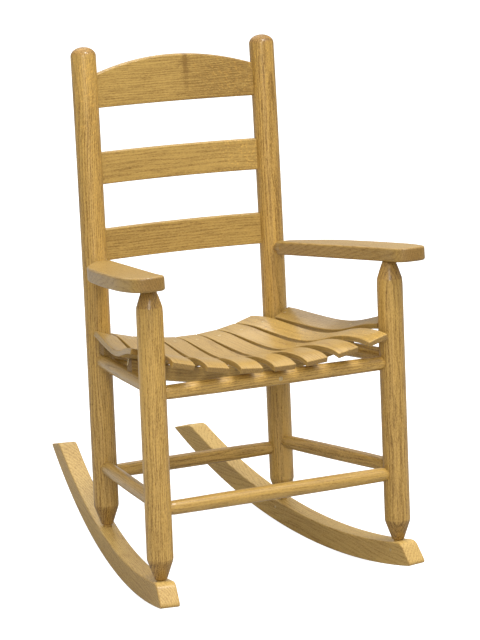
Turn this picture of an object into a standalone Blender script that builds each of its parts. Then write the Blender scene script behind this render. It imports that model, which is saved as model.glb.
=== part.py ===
"""Child's ladder-back rocking chair with a slatted seat, in metres.

+X is to the right seen from the front, the chair faces -Y and +Z is up.
The origin lies on the floor under the middle of the chair's bounding box.
"left" and "right" are as seen from the front.
"""

import math

import bmesh
import bpy
from mathutils import Matrix, Vector

# Posts
POST_RADIUS = 0.0175
POST_LEAN = 0.0928  # how far an axis moves back for each metre up
POST_TOE = 0.0042  # how far it moves towards the middle
FRONT_HALF_SPACING = 0.1771
BACK_HALF_SPACING = 0.1383
FRONT_AXIS_Y = 0.0109  # where a front post's axis would meet the floor
BACK_AXIS_Y = 0.2866
BEND_START = 0.250  # a back post is straight below this height
BEND_OFFSET = 0.0083  # extra lean at BEND_END
BEND_END = 0.700
BACK_TOP = 0.7040
DOME_HEIGHT = 0.0125
FOOT_TAPER = 0.0262
FOOT_RADIUS = 0.0083
NECK_TAPER = 0.0290
NECK_RADIUS = 0.0088
TENON_RADIUS = 0.00635
FOOT_TENON = 0.022
ARM_TENON = 0.012
POST_SIDES = 24

# Rockers
ROCKER_RADIUS = 0.9000
ROCKER_HEIGHT = 0.032
ROCKER_THICKNESS = 0.027
ROCKER_REST = 0.1970  # from the front post's foot back to the lowest point
ROCKER_NOSE = -0.0462
ROCKER_NOSE_TOP = -0.0212
ROCKER_TAIL = 0.5535
ROCKER_TAIL_TOP = 0.5065
ROCKER_EDGE = 0.0025
ROCKER_END_RADIUS = 0.003
ROCKER_TOP_RADIUS = 0.005
SOLE_STEP = 0.022  # length of one facet of the sole
TOP_FACETS = 18
FRONT_FOOT_HEIGHT = 0.053  # where the posts meet the rockers, near enough to place them
BACK_FOOT_HEIGHT = 0.036
TAIL_TRIM = 0.0028  # what the rounding of the sharp tail takes off its length
PIN_RADIUS = 0.0012
PIN_LENGTH = 0.021
PIN_DEPTH = 0.011  # below the rocker's top

# Rungs
RUNG_RADIUS = 0.0095
RUNG_BELLY = 0.0007
RUNG_SHOULDER = 0.0022  # how far a full-width end sinks into its post
RUNG_TENON = 0.0107
RUNG_SIDES = 18
LOWER_FRONT_HEIGHT = 0.1492
LOWER_BACK_HEIGHT = 0.1127
LOWER_SIDE_HEIGHTS = (0.1579, 0.1217)
SEAT_FRONT_HEIGHT = 0.3022
SEAT_BACK_HEIGHT = 0.2648
SEAT_SIDE_HEIGHTS = (0.3095, 0.2735)

# Ladder slats
LADDER_THICKNESS = 0.009
LADDER_BOW = 0.0091
LADDER_TENON = 0.0105
LADDER_HEIGHT = 0.0435
LOWER_SLAT_HEIGHT = 0.4104
MIDDLE_SLAT_HEIGHT = 0.5158
CREST_HEIGHT = 0.6202
CREST_END = 0.0402
CREST_RISE = 0.0241

# Arms
ARM_THICKNESS = 0.019
ARM_FALL = 0.1616
ARM_TOP_HEIGHT = 0.4611  # of the top face at ARM_TOP_Y
ARM_TOP_Y = 0.035
ARM_EDGE = 0.0015
ARM_INSET = 0.0110  # how far its inner edge is inside the front post's axis, at the front
ARM_OVERHANG = 0.0394  # how far it reaches outside that axis
ARM_NOSE = 0.0034  # how far it reaches in front of that axis at the floor
BULLET_RADIUS = 0.0094
BULLET_LENGTH = 0.0150
BULLET_OVERLAP = 0.012  # how far the turned end runs into the board

# Seat
SLAT_COUNT = 9
SLAT_WIDTH = 0.0315
SLAT_THICKNESS = 0.008
SLAT_PITCH_FRONT = 0.0475
SLAT_PITCH_REAR = 0.0324
SLAT_FRONT_Y = FRONT_AXIS_Y - 0.0024
SLAT_REAR_Y = BACK_AXIS_Y + 0.0374
OUTER_SLAT_FRONT_Y = FRONT_AXIS_Y + POST_RADIUS + 0.0361
OUTER_SLAT_REAR_Y = BACK_AXIS_Y - POST_RADIUS + 0.0164
SEAT_LOW_HEIGHT = 0.2934  # top of the middle slat where it is lowest
SEAT_HUMP = 0.038  # how much higher the front is
SEAT_STEP_Y = 0.1135
SEAT_STEP_SOFTNESS = 0.026
SEAT_LIP = 0.0042  # how far the front ends dip
SEAT_LIP_Y = 0.045
SEAT_DROP = 0.0045  # how far the rear ends dip
SEAT_DROP_Y = 0.270
DISH_FRONT = 0.78  # rise per metre squared across the seat, at SLAT_FRONT_Y
DISH_REAR = 1.32
CLEAT_FRONT_Y = 0.138
CLEAT_OVERHANG = 0.007  # how far its ends reach past the middle of a side rung
CLEAT_DEPTH = 0.022
CLEAT_THICKNESS = 0.018
CLEAT_GAP = 0.0008
CLEAT_REAR_Y = BACK_AXIS_Y + POST_LEAN * SEAT_BACK_HEIGHT - POST_RADIUS - 0.5 * CLEAT_THICKNESS
NAIL_RADIUS = 0.0012
NAIL_HEAD_RADIUS = 0.0025
NAIL_HEAD = 0.0012
NAIL_LENGTH = 0.019
SCREW_HEAD_RADIUS = 0.003
SCREW_RADIUS = 0.0015
SCREW_HEAD = 0.002
SCREW_LENGTH = 0.014
SCREW_X = 0.003

CLEARANCE = 0.0003
SIDES = (("left", -1), ("right", 1))

# The chair is drawn from the front posts and then moved so that the origin is under its middle.
SPLAY = math.atan2(
    FRONT_HALF_SPACING - BACK_HALF_SPACING, BACK_AXIS_Y - FRONT_AXIS_Y
)
FOOT_Y = FRONT_AXIS_Y + FRONT_FOOT_HEIGHT * POST_LEAN
BACK_FOOT_Y = BACK_AXIS_Y + BACK_FOOT_HEIGHT * POST_LEAN
MIDDLE_Y = FOOT_Y + 0.5 * (ROCKER_NOSE + ROCKER_TAIL - TAIL_TRIM) * math.cos(SPLAY)


# ---------------------------------------------------------------- scene and helpers

def clear_scene():
    for obj in list(bpy.data.objects):
        bpy.data.objects.remove(obj, do_unlink=True)


def new_collection(name, hidden=False):
    made = bpy.data.collections.new(name)
    bpy.context.scene.collection.children.link(made)
    made.hide_render = hidden
    return made


def wood(name, colour, roughness=0.42, metallic=0.0):
    material = bpy.data.materials.new(name)
    material.use_nodes = True
    shader = material.node_tree.nodes["Principled BSDF"]
    shader.inputs["Base Color"].default_value = (*colour, 1.0)
    shader.inputs["Roughness"].default_value = roughness
    shader.inputs["Metallic"].default_value = metallic
    material.diffuse_color = (*colour, 1.0)
    return material


def add_object(name, mesh, material, cutter=False):
    """An object in the chair's collection, or a hidden one among the cutters."""
    obj = bpy.data.objects.new(name, mesh)
    (CUTTERS if cutter else CHAIR).objects.link(obj)
    obj.hide_render = cutter
    if cutter:
        obj.display_type = "WIRE"
    elif material is not None:
        mesh.materials.clear()
        mesh.materials.append(material)
    return obj


def finish_mesh(bm, name, smooth_angle=None):
    bmesh.ops.recalc_face_normals(bm, faces=bm.faces)
    mesh = bpy.data.meshes.new(name)
    bm.to_mesh(mesh)
    bm.free()
    if smooth_angle is not None:
        mesh.shade_smooth()
        mesh.set_sharp_from_angle(angle=math.radians(smooth_angle))
    return mesh


def cut(target, cutters):
    for cutter in cutters:
        modifier = target.modifiers.new("cut " + cutter.name, "BOOLEAN")
        modifier.operation = "DIFFERENCE"
        modifier.solver = "EXACT"
        modifier.object = cutter


def join(target, piece):
    modifier = target.modifiers.new("join " + piece.name, "BOOLEAN")
    modifier.operation = "UNION"
    modifier.solver = "EXACT"
    modifier.object = piece


def bevel(obj, width, segments=2, angle=35):
    modifier = obj.modifiers.new("soft edges", "BEVEL")
    modifier.width = width
    modifier.segments = segments
    modifier.limit_method = "ANGLE"
    modifier.angle_limit = math.radians(angle)
    return modifier


def turned_mesh(name, profile, sides):
    """A solid turned about Z from (radius, height) points that run from top to bottom."""
    bm = bmesh.new()
    corners = [bm.verts.new((radius, 0, height)) for radius, height in profile]
    edges = [bm.edges.new(pair) for pair in zip(corners, corners[1:])]
    bmesh.ops.spin(
        bm, geom=corners + edges, cent=(0, 0, 0), axis=(0, 0, 1), angle=math.tau,
        steps=sides, use_merge=True,
    )
    bmesh.ops.remove_doubles(bm, verts=bm.verts, dist=0.00001)
    return finish_mesh(bm, name, 40)


def turned_between(name, start, end, profile, material, sides, cutter=False):
    """A turned piece whose Z runs from start towards end."""
    obj = add_object(name, turned_mesh(name, profile, sides), material, cutter)
    direction = (end - start).normalized()
    turn = direction.to_track_quat("Z", "Y").to_matrix().to_4x4()
    obj.matrix_world = Matrix.Translation(start) @ turn
    return obj


def box_grid(name, counts, place, material, smooth_angle=None):
    """A block split into counts pieces along its three sides, each point moved by place(u, v, w)."""
    bm = bmesh.new()
    bmesh.ops.create_cube(bm, size=2.0)
    for side in range(3):
        for step in range(1, counts[side]):
            normal = Vector((0, 0, 0))
            normal[side] = 1
            bmesh.ops.bisect_plane(
                bm, geom=bm.verts[:] + bm.edges[:] + bm.faces[:],
                plane_co=normal * (2 * step / counts[side] - 1), plane_no=normal,
            )
    for vertex in bm.verts:
        vertex.co = place(*vertex.co)
    return add_object(name, finish_mesh(bm, name, smooth_angle), material)


def rounded_outline(corners):
    """Points of a flat outline whose corners (point, radius) are rounded with short arcs."""
    points = []
    for index, (corner, radius) in enumerate(corners):
        before = (corners[index - 1][0] - corner).normalized()
        after = (corners[(index + 1) % len(corners)][0] - corner).normalized()
        half = 0.5 * before.angle(after)
        if radius == 0:
            points.append(corner)
            continue
        reach = radius / math.tan(half)
        centre = corner + (before + after).normalized() * radius / math.sin(half)
        first = corner + before * reach - centre
        last = corner + after * reach - centre
        turn = first.angle_signed(last)
        steps = max(2, round(abs(turn) / math.radians(24)))
        for step in range(steps + 1):
            angle = -turn * step / steps
            points.append(centre + Matrix.Rotation(angle, 2) @ first)
    return points


def flat_board(name, outline, thickness, edge, frame, material):
    """A board of this outline, its edges rounded, moved by frame. Its faces look along local Z."""
    curve = bpy.data.curves.new(name, "CURVE")
    curve.dimensions = "2D"
    curve.fill_mode = "BOTH"
    curve.extrude = thickness / 2 - edge
    curve.bevel_depth = edge
    curve.bevel_resolution = 1
    curve.offset = -edge
    spline = curve.splines.new("POLY")
    spline.points.add(len(outline) - 1)
    spline.use_cyclic_u = True
    for point, place in zip(spline.points, outline):
        point.co = (place[0], place[1], 0, 1)
    drawn = bpy.data.objects.new(name + " outline", curve)
    CUTTERS.objects.link(drawn)
    drawn.matrix_world = frame
    return mesh_from_curve(drawn, name, material)


def mesh_from_curve(drawn, name, material):
    bpy.context.view_layer.update()
    graph = bpy.context.evaluated_depsgraph_get()
    mesh = bpy.data.meshes.new_from_object(drawn.evaluated_get(graph))
    bm = bmesh.new()
    bm.from_mesh(mesh)
    bmesh.ops.remove_doubles(bm, verts=bm.verts, dist=0.00001)
    bpy.data.meshes.remove(mesh)
    obj = add_object(name, finish_mesh(bm, name, 40), material)
    obj.matrix_world = drawn.matrix_world.copy()
    curve = drawn.data
    bpy.data.objects.remove(drawn)
    bpy.data.curves.remove(curve)
    return obj


# ---------------------------------------------------------------- where things are

def front_axis(height, side):
    return Vector((
        side * (FRONT_HALF_SPACING - POST_TOE * height),
        FRONT_AXIS_Y + POST_LEAN * height - MIDDLE_Y,
        height,
    ))


def back_axis(height, side):
    over = max(0.0, height - BEND_START) / (BEND_END - BEND_START)
    return Vector((
        side * (BACK_HALF_SPACING - POST_TOE * height),
        BACK_AXIS_Y + POST_LEAN * height + BEND_OFFSET * over * over - MIDDLE_Y,
        height,
    ))


def rocker_arc(along, up=0.0):
    """Height of the rocker's curve at a distance from the front foot, up above its sole."""
    radius = ROCKER_RADIUS - up
    return ROCKER_RADIUS - math.sqrt(radius ** 2 - (along - ROCKER_REST) ** 2)


def rocker_frame(side):
    """Local X runs back along the rocker, local Y up and local Z across it."""
    back = Vector((-side * math.sin(SPLAY), math.cos(SPLAY), 0))
    up = Vector((0, 0, 1))
    across = back.cross(up)
    turn = Matrix((back, up, across)).transposed().to_4x4()
    foot = front_axis(rocker_arc(0, ROCKER_HEIGHT), side)
    foot.z = 0
    return Matrix.Translation(foot) @ turn


def post_distance():
    """Distance between a front foot and a back foot, along the rocker."""
    return (BACK_FOOT_Y - FOOT_Y) / math.cos(SPLAY)


def foot_height(along):
    """Height of a post's shoulder: it clears the rocker's top, which slopes under it."""
    top = rocker_arc(along, ROCKER_HEIGHT)
    slope = (rocker_arc(along + 0.001, ROCKER_HEIGHT) - top) / 0.001
    wedge = FOOT_RADIUS * abs(slope + POST_LEAN)
    return top + wedge + CLEARANCE


def seat_height(x, y):
    """Height of the seat's top surface, from y measured like the post axes."""
    hump = SEAT_HUMP / (1 + math.exp((y - SEAT_STEP_Y) / SEAT_STEP_SOFTNESS))
    lip = SEAT_LIP * max(0.0, (SEAT_LIP_Y - y) / (SEAT_LIP_Y - SLAT_FRONT_Y)) ** 3
    drop = SEAT_DROP * max(0.0, (y - SEAT_DROP_Y) / (SLAT_REAR_Y - SEAT_DROP_Y)) ** 2
    middle = SEAT_LOW_HEIGHT + hump - lip - drop
    share = (y - SLAT_FRONT_Y) / (SLAT_REAR_Y - SLAT_FRONT_Y)
    dish = DISH_FRONT + (DISH_REAR - DISH_FRONT) * share
    return middle + dish * x * x


def seat_normal(x, y):
    step = 0.0005
    slope_x = (seat_height(x + step, y) - seat_height(x - step, y)) / (2 * step)
    slope_y = (seat_height(x, y + step) - seat_height(x, y - step)) / (2 * step)
    return Vector((-slope_x, -slope_y, 1)).normalized()


def seat_point(x, y):
    return Vector((x, y - MIDDLE_Y, seat_height(x, y)))


def under_seat(x, y, depth):
    """Height of the surface this far below the seat's top, measured square to it."""
    return seat_height(x, y) - depth / seat_normal(x, y).z


def slat_centre(number, y):
    """Where the middle line of a seat slat crosses y. number runs from -4 to 4."""
    share = (y - SLAT_FRONT_Y) / (SLAT_REAR_Y - SLAT_FRONT_Y)
    return number * (SLAT_PITCH_FRONT + (SLAT_PITCH_REAR - SLAT_PITCH_FRONT) * share)


def arm_top(y):
    """Height of an arm's top face, from y measured like the post axes."""
    return ARM_TOP_HEIGHT - ARM_FALL * (y - ARM_TOP_Y)


def arm_rear():
    """Where an arm's board ends and its turned end begins: (half width to there, y)."""
    y = BACK_AXIS_Y
    for _ in range(4):
        axis = back_axis(arm_top(y) - 0.5 * ARM_THICKNESS, 1)
        y = axis.y + MIDDLE_Y - POST_RADIUS - BULLET_LENGTH
    return axis.x, y


def side_rung_x(y):
    """Half the distance between the two side rungs of the seat, at y."""
    share = (y - FRONT_AXIS_Y) / (BACK_AXIS_Y - FRONT_AXIS_Y)
    return FRONT_HALF_SPACING + (BACK_HALF_SPACING - FRONT_HALF_SPACING) * share


# ---------------------------------------------------------------- posts

def front_post_top():
    """Height where a front post's axis meets the underside of its arm."""
    stand = ARM_THICKNESS * math.hypot(1, ARM_FALL)
    start = arm_top(FRONT_AXIS_Y) - stand
    wedge = NECK_RADIUS * (ARM_FALL - POST_LEAN)
    return start / (1 + ARM_FALL * POST_LEAN) - wedge - CLEARANCE


def front_post(name, side, material):
    foot = foot_height(0)
    top = front_post_top()
    start = front_axis(0, side)
    scale = math.hypot(1, POST_LEAN)
    profile = [
        (0, top + ARM_TENON),
        (TENON_RADIUS, top + ARM_TENON),
        (TENON_RADIUS, top),
        (NECK_RADIUS, top),
        (0.5 * (NECK_RADIUS + POST_RADIUS) + 0.0012, top - 0.45 * NECK_TAPER),
        (POST_RADIUS - 0.0006, top - 0.87 * NECK_TAPER),
        (POST_RADIUS, top - NECK_TAPER - 0.002),
        (POST_RADIUS, foot + FOOT_TAPER + 0.002),
        (POST_RADIUS - 0.0008, foot + FOOT_TAPER - 0.001),
        (FOOT_RADIUS, foot),
        (TENON_RADIUS, foot),
        (TENON_RADIUS, foot - FOOT_TENON),
        (0, foot - FOOT_TENON),
    ]
    profile = [(radius, height * scale) for radius, height in profile]
    return turned_between(name, start, front_axis(1, side), profile, material, POST_SIDES)


def back_post(name, side, material):
    """The bent post: round stock swept along its axis, its radius changing at foot and dome."""
    foot = foot_height(post_distance())
    dome = [
        (BACK_TOP - DOME_HEIGHT * (1 - math.sin(angle)), POST_RADIUS * math.cos(angle))
        for angle in (math.radians(step) for step in (0, 20, 40, 60, 76, 90))
    ]
    bend = [(BEND_START + step * 0.0735, POST_RADIUS) for step in range(6)]
    stations = [
        (foot - FOOT_TENON, TENON_RADIUS),
        (foot - 0.00001, TENON_RADIUS),
        (foot, FOOT_RADIUS),
        (foot + FOOT_TAPER - 0.001, POST_RADIUS - 0.0008),
        (foot + FOOT_TAPER + 0.002, POST_RADIUS),
    ] + bend + dome
    bm = bmesh.new()
    rings = []
    for height, radius in stations:
        centre = back_axis(height, side)
        tangent = (back_axis(height + 0.001, side) - back_axis(height - 0.001, side)).normalized()
        turn = tangent.to_track_quat("Z", "Y").to_matrix().to_4x4()
        frame = Matrix.Translation(centre) @ turn
        made = bmesh.ops.create_circle(
            bm, cap_ends=False, radius=max(radius, 0.00004), segments=POST_SIDES, matrix=frame,
        )
        rings.append(made["verts"])
    for lower, upper in zip(rings, rings[1:]):
        edges = [edge for edge in bm.edges if edge_in(edge, lower) or edge_in(edge, upper)]
        bmesh.ops.bridge_loops(bm, edges=edges)
    bmesh.ops.holes_fill(bm, edges=bm.edges, sides=0)
    return add_object(name, finish_mesh(bm, name, 40), material)


def edge_in(edge, ring):
    return edge.verts[0] in ring and edge.verts[1] in ring


# ---------------------------------------------------------------- rungs

def rung_profile(length, gap=0.0):
    """Half the profile of a rung is enough for its two ends: it swells a little at the middle."""
    body = length / 2 - POST_RADIUS + RUNG_SHOULDER
    end = length / 2 - POST_RADIUS + RUNG_TENON
    half = [
        (0, end + gap),
        (TENON_RADIUS + gap, end + gap),
        (TENON_RADIUS + gap, body + gap),
        (RUNG_RADIUS - 0.0012 + gap, body + gap),
        (RUNG_RADIUS + gap, body - 0.0012),
        (RUNG_RADIUS + 0.8 * RUNG_BELLY + gap, length * 0.18),
    ]
    middle = [(RUNG_RADIUS + RUNG_BELLY + gap, 0)]
    return half + middle + [(radius, -height) for radius, height in reversed(half)]


def rung(name, start, end, material):
    """A rung between two post axes, and the cutter that bores its sockets."""
    middle = (start + end) / 2
    length = (end - start).length
    piece = turned_between(name, middle, end, rung_profile(length), material, RUNG_SIDES)
    socket = turned_between(
        name + " socket", middle, end, rung_profile(length, CLEARANCE), None, RUNG_SIDES, True,
    )
    return piece, socket


# ---------------------------------------------------------------- back slats

def ladder_slat(name, lower, end_height, rise, material, gap=0.0):
    """A bowed slat between the back posts. With a gap it is the cutter for its mortises."""
    spacing = back_axis(lower + 0.5 * end_height, 1).x
    half = spacing - POST_RADIUS + LADDER_TENON + gap

    def place(u, v, w):
        x = u * half
        share = min(1.0, abs(x) / spacing)
        top = end_height + rise * (1 - share ** 2)
        height = lower - gap + (top + 2 * gap) * (w + 1) / 2
        axis = back_axis(height, 1)
        y = axis.y + LADDER_BOW * (1 - share ** 2) + v * (LADDER_THICKNESS / 2 + gap)
        return Vector((x, y, height))

    slat = box_grid(name, (16, 1, 2), place, material, 35)
    if gap == 0:
        bevel(slat, 0.0012)
        return slat
    CHAIR.objects.unlink(slat)
    CUTTERS.objects.link(slat)
    slat.hide_render = True
    slat.display_type = "WIRE"
    return slat


# ---------------------------------------------------------------- arms

def arm(name, side, material, post):
    """A paddle-shaped board that falls towards the back, with a turned end let into the back post."""
    rear_x, rear_y = arm_rear()
    inner = FRONT_HALF_SPACING - ARM_INSET
    outer = FRONT_HALF_SPACING + ARM_OVERHANG
    nose = FRONT_AXIS_Y - ARM_NOSE
    run = rear_y - nose
    corners = [
        (Vector((rear_x - 0.0102, rear_y)), 0.004),
        (Vector((inner - 0.0020, nose + 0.14 * run)), 0.060),
        (Vector((inner + 0.0010, nose)), 0.020),
        (Vector((outer - 0.0055, nose)), 0.019),
        (Vector((outer, nose + 0.17 * run)), 0.030),
        (Vector((outer - 0.0090, nose + 0.446 * run)), 0.060),
        (Vector((rear_x + 0.37 * (outer - rear_x) + 0.0240, nose + 0.778 * run)), 0.040),
        (Vector((rear_x + 0.0140, rear_y)), 0.009),
    ]
    stretch = math.hypot(1, ARM_FALL)
    outline = [
        Vector((side * point.x, (point.y - rear_y) * stretch))
        for point in rounded_outline(corners)
    ]
    if side < 0:
        outline.reverse()
    slope = Matrix.Rotation(-math.atan(ARM_FALL), 4, "X")
    middle = Vector((0, rear_y - MIDDLE_Y, arm_top(rear_y) - 0.5 * ARM_THICKNESS * stretch))
    board = flat_board(
        name, outline, ARM_THICKNESS, ARM_EDGE, Matrix.Translation(middle) @ slope, material,
    )
    start = middle + Vector((side * (rear_x + 0.0012), -BULLET_OVERLAP, BULLET_OVERLAP * ARM_FALL))
    end = middle + Vector((side * rear_x, 0.05, -0.05 * ARM_FALL))
    reach = BULLET_OVERLAP + BULLET_LENGTH - 0.0008
    bullet = [
        (BULLET_RADIUS * math.cos(angle) + 0.001, reach - BULLET_LENGTH * (1 - math.sin(angle)))
        for angle in (math.radians(step) for step in (52, 40, 27, 14, 0))
    ]
    tenon = reach + ARM_TENON
    profile = [(0, tenon), (TENON_RADIUS, tenon), (TENON_RADIUS, bullet[0][1])]
    profile += bullet + [(BULLET_RADIUS, 0.5 * BULLET_OVERLAP), (0, 0.5 * BULLET_OVERLAP)]
    peg = turned_between(name + " turned end", start, end, profile, None, 20, True)
    join(board, peg)
    hole = [
        (0, tenon + CLEARANCE), (TENON_RADIUS + CLEARANCE, tenon + CLEARANCE),
        (TENON_RADIUS + CLEARANCE, 0.004), (0, 0.004),
    ]
    socket = turned_between(name + " socket", start, end, hole, None, 20, True)
    cut(post, [socket])
    return board


def arm_mortise(side):
    """The hole under an arm for the front post's tenon."""
    top = front_post_top()
    low = front_axis(top - 0.004, side)
    length = (0.004 + ARM_TENON) * math.hypot(1, POST_LEAN) + CLEARANCE
    radius = TENON_RADIUS + CLEARANCE
    profile = [(0, length), (radius, length), (radius, 0), (0, 0)]
    return turned_between(f"arm mortise {side}", low, front_axis(top, side), profile, None, 20, True)


# ---------------------------------------------------------------- rockers

def rocker(name, side, material):
    """A curved board. Its sole has facets on both sides of its lowest point, the lowest one level."""
    facets = range(-round(ROCKER_REST / SOLE_STEP), round((ROCKER_TAIL - ROCKER_REST) / SOLE_STEP))
    sole = [ROCKER_NOSE] + [ROCKER_REST + (facet - 0.5) * SOLE_STEP for facet in facets] + [ROCKER_TAIL]
    lift = rocker_arc(ROCKER_REST + 0.5 * SOLE_STEP)
    corners = [(Vector((along, rocker_arc(along) - lift)), 0) for along in reversed(sole)]
    for step in range(TOP_FACETS + 1):
        along = ROCKER_NOSE_TOP + (ROCKER_TAIL_TOP - ROCKER_NOSE_TOP) * step / TOP_FACETS
        corners.append((Vector((along, rocker_arc(along, ROCKER_HEIGHT))), 0))
    for index, radius in (
        (0, ROCKER_END_RADIUS), (len(sole) - 1, ROCKER_END_RADIUS),
        (len(sole), ROCKER_TOP_RADIUS), (-1, ROCKER_TOP_RADIUS),
    ):
        corners[index] = (corners[index][0], radius)
    outline = rounded_outline(corners)
    return flat_board(name, outline, ROCKER_THICKNESS, ROCKER_EDGE, rocker_frame(side), material)


def foot_mortise(name, axis, along, side):
    """The hole in a rocker for the tenon under a post."""
    foot = foot_height(along)
    low = axis(foot - FOOT_TENON - CLEARANCE, side)
    high = axis(foot + 0.010, side)
    length = (high - low).length
    radius = TENON_RADIUS + CLEARANCE
    profile = [(0, length), (radius, length), (radius, 0), (0, 0)]
    return turned_between(name, low, high, profile, None, POST_SIDES, True)


def pin(name, along, side, material):
    """The small nail through a rocker's inner face into a post's tenon, and its hole."""
    frame = rocker_frame(side)
    height = rocker_arc(along, ROCKER_HEIGHT) - PIN_DEPTH
    face = -side * ROCKER_THICKNESS / 2
    middle = frame @ Vector((along, height, 0))
    outer = frame @ Vector((along, height, 1)) - middle
    inward = Vector((-side, 0, 0))
    outer = outer if outer.dot(inward) > 0 else -outer
    tip = middle + outer * (ROCKER_THICKNESS / 2 - PIN_LENGTH)
    head = middle + outer * ROCKER_THICKNESS / 2
    return nail_pair(name, tip, head, PIN_LENGTH, PIN_RADIUS, 0.0019, 0.0008, material)


def nail_pair(name, tip, head, length, radius, head_radius, head_height, material):
    """A nail whose flat head is flush at head, and the hole it sits in."""
    shape = [
        (0, length - 0.0001), (head_radius, length - 0.0001), (head_radius, length - head_height),
        (radius, length - head_height), (radius, 0.002), (0.0003, 0), (0, 0),
    ]
    gap = CLEARANCE
    hole = [
        (0, length + 0.004), (head_radius + gap, length + 0.004),
        (head_radius + gap, length - head_height - gap), (radius + gap, length - head_height - gap),
        (radius + gap, -gap), (0, -gap),
    ]
    nail = turned_between(name, tip, head, shape, material, 10)
    cutter = turned_between(name + " hole", tip, head, hole, None, 10, True)
    return nail, cutter


# ---------------------------------------------------------------- seat

def seat_slat(name, number, material):
    """One bent slat. The outer two are shorter: they end behind a front post and before a back post."""
    outer = abs(number) == SLAT_COUNT // 2

    def place(u, v, w):
        share = (v + 1) / 2
        x = slat_centre(number, 0.5 * (SLAT_FRONT_Y + SLAT_REAR_Y))
        for _ in range(6):
            front = OUTER_SLAT_FRONT_Y if outer else SLAT_FRONT_Y + 0.4 * x * x
            rear = OUTER_SLAT_REAR_Y + 0.40 * (abs(x) - 0.1195) if outer else SLAT_REAR_Y + 1.1 * x * x
            y = front + (rear - front) * share
            x = slat_centre(number, y) + u * SLAT_WIDTH / 2
        flat = slat_centre(number, y)
        top = seat_point(flat, y)
        across = seat_point(flat + 0.01, y) - seat_point(flat - 0.01, y)
        across = across / across.x
        normal = seat_normal(flat, y)
        return top + across * (x - flat) * across.length ** -1 - normal * (1 - w) * SLAT_THICKNESS / 2

    slat = box_grid(name, (1, 20, 1), place, material, 30)
    bevel(slat, 0.0009, 1)
    return slat


def cleat(name, y, material):
    """A curved board under the slats, lying across the side rungs."""
    half = side_rung_x(y) + CLEAT_OVERHANG

    def place(u, v, w):
        x = u * half
        deep = SLAT_THICKNESS + CLEAT_GAP
        edge = y + v * CLEAT_THICKNESS / 2
        if w > 0:
            height = under_seat(x, edge, deep)
        else:
            height = under_seat(x, y, deep) - CLEAT_DEPTH
        return Vector((x, edge - MIDDLE_Y, height))

    board = box_grid(name, (16, 1, 1), place, material, 30)
    bevel(board, 0.001, 1)
    return board


def seat_nail(name, number, y, material):
    x = slat_centre(number, y)
    head = seat_point(x, y)
    tip = head - seat_normal(x, y) * NAIL_LENGTH
    return nail_pair(
        name, tip, head, NAIL_LENGTH, NAIL_RADIUS, NAIL_HEAD_RADIUS, NAIL_HEAD, material,
    )


# ---------------------------------------------------------------- the chair

def build_chair():
    oak = wood("oak", (0.56, 0.36, 0.13))
    pale_oak = wood("pale oak", (0.62, 0.43, 0.19), 0.36)
    steel = wood("brass plated steel", (0.72, 0.62, 0.38), 0.35, 1.0)

    fronts = {side: front_post("front_post_" + word, side, oak) for word, side in SIDES}
    backs = {side: back_post("back_post_" + word, side, oak) for word, side in SIDES}

    level_rungs = (
        ("lower_rung_front", front_axis, LOWER_FRONT_HEIGHT, fronts),
        ("lower_rung_back", back_axis, LOWER_BACK_HEIGHT, backs),
        ("seat_rung_front", front_axis, SEAT_FRONT_HEIGHT, fronts),
        ("seat_rung_back", back_axis, SEAT_BACK_HEIGHT, backs),
    )
    level = {}
    for name, axis, height, posts in level_rungs:
        level[name], socket = rung(name, axis(height, -1), axis(height, 1), oak)
        for side in (-1, 1):
            cut(posts[side], [socket])

    seat_side_sockets = []
    for word, side in SIDES:
        for level_name, heights in (("lower", LOWER_SIDE_HEIGHTS), ("seat", SEAT_SIDE_HEIGHTS)):
            start = front_axis(heights[0], side)
            end = back_axis(heights[1], side)
            made, socket = rung(f"{level_name}_rung_{word}", start, end, oak)
            cut(fronts[side], [socket])
            cut(backs[side], [socket])
            if level_name == "seat":
                seat_side_sockets.append(socket)

    for name, lower, height, rise in (
        ("ladder_slat_crest", CREST_HEIGHT, CREST_END, CREST_RISE),
        ("ladder_slat_middle", MIDDLE_SLAT_HEIGHT, LADDER_HEIGHT, 0.0),
        ("ladder_slat_lower", LOWER_SLAT_HEIGHT, LADDER_HEIGHT, 0.0),
    ):
        ladder_slat(name, lower, height, rise, oak)
        mortise = ladder_slat(name + " mortise", lower, height, rise, None, CLEARANCE)
        for side in (-1, 1):
            cut(backs[side], [mortise])

    for word, side in SIDES:
        board = arm("arm_" + word, side, pale_oak, backs[side])
        cut(board, [arm_mortise(side)])

    for word, side in SIDES:
        board = rocker("rocker_" + word, side, oak)
        feet = (
            ("front", front_axis, 0.0, fronts[side]),
            ("back", back_axis, post_distance(), backs[side]),
        )
        for place, axis, along, post in feet:
            cut(board, [foot_mortise(f"{place} foot mortise {word}", axis, along, side)])
            _, hole = pin(f"rocker_pin_{place}_{word}", along, side, steel)
            cut(board, [hole])
            cut(post, [hole])

    half = SLAT_COUNT // 2
    slats = {n: seat_slat(f"seat_slat_{n + half + 1}", n, pale_oak) for n in range(-half, half + 1)}
    for place, y in (("front", CLEAT_FRONT_Y), ("rear", CLEAT_REAR_Y)):
        board = cleat("seat_cleat_" + place, y, oak)
        cut(board, seat_side_sockets)
        for number, slat in slats.items():
            _, hole = seat_nail(f"seat_nail_{place}_{number + half + 1}", number, y, steel)
            cut(slat, [hole])
            cut(board, [hole])

    centre = (front_axis(SEAT_FRONT_HEIGHT, -1) + front_axis(SEAT_FRONT_HEIGHT, 1)) / 2
    centre.x = SCREW_X
    forward = Vector((0, -1, POST_LEAN)).normalized()
    head = centre + forward * (RUNG_RADIUS + RUNG_BELLY)
    _, hole = nail_pair(
        "front_rung_screw", head - forward * SCREW_LENGTH, head, SCREW_LENGTH,
        SCREW_RADIUS, SCREW_HEAD_RADIUS, SCREW_HEAD, steel,
    )
    cut(level["seat_rung_front"], [hole])


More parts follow.
